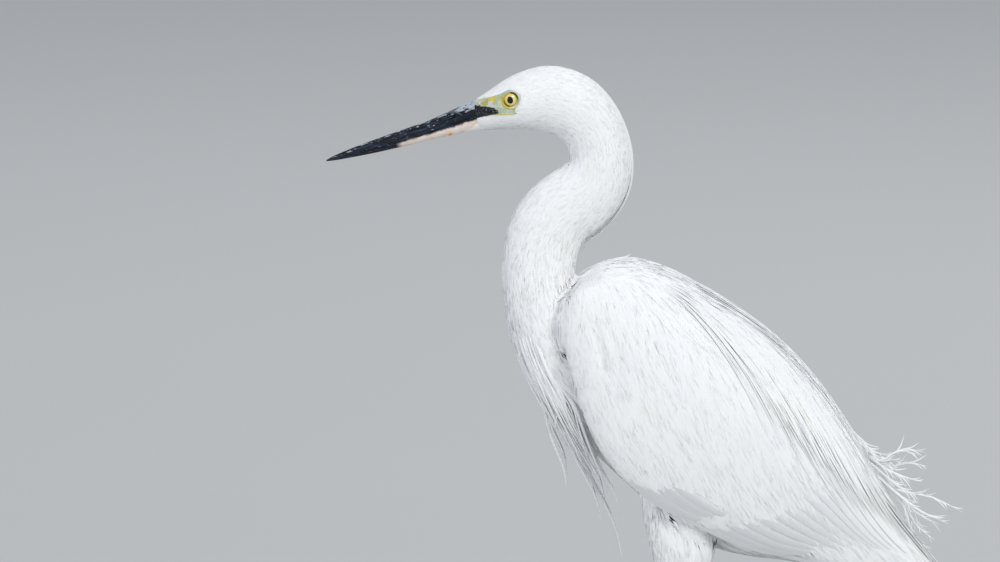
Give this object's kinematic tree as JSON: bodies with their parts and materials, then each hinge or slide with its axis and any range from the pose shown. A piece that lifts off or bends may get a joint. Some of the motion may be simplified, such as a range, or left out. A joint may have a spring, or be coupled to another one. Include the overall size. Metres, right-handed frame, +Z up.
{
  "type": "little egret",
  "caption": "Still life-size white heron standing on both feet, neck drawn into an S, long pointed bill, folded wings, breast and back plumes.",
  "frame": {"origin": "on the floor, below the middle of the whole bird", "axes": "+Z up, the bird looks towards -X, its left side is towards -Y"},
  "size_m": [0.352, 0.1112, 0.4606],
  "materials": {
    "feather": "white body, wing and tail feathers",
    "plume": "loose white back plumes",
    "upper_bill": "blue-black horn with pale wear",
    "lower_bill": "flesh-coloured horn, dark towards the tip",
    "bare_skin": "bare yellow-green skin",
    "iris": "wet yellow iris round a black pupil",
    "leg": "black scaled skin",
    "toe": "yellow-green scaled skin",
    "claw": "black horn"
  },
  "bodies": {
    "root": {"bill_lower": "lower_bill", "bill_upper": "upper_bill", "claw_hind_left": "claw", "claw_hind_right": "claw", "claw_inner_left": "claw", "claw_inner_right": "claw", "claw_middle_left": "claw", "claw_middle_right": "claw", "claw_outer_left": "claw", "claw_outer_right": "claw", "eye_left": "iris", "eye_right": "iris", "face_left": "bare_skin", "face_right": "bare_skin", "head": "feather", "mantle": "plume", "neck_lower": "feather", "neck_middle": "feather", "neck_upper": "feather", "shank_left": "leg", "shank_right": "leg", "shin_left": "leg", "shin_right": "leg", "tail": "feather", "thigh_left": "feather", "thigh_right": "feather", "toe_hind_left": "toe", "toe_hind_right": "toe", "toe_inner_left": "toe", "toe_inner_right": "toe", "toe_middle_left": "toe", "toe_middle_right": "toe", "toe_outer_left": "toe", "toe_outer_right": "toe", "torso": "feather", "wing_left": "feather", "wing_right": "feather"}
  },
  "joints": []
}
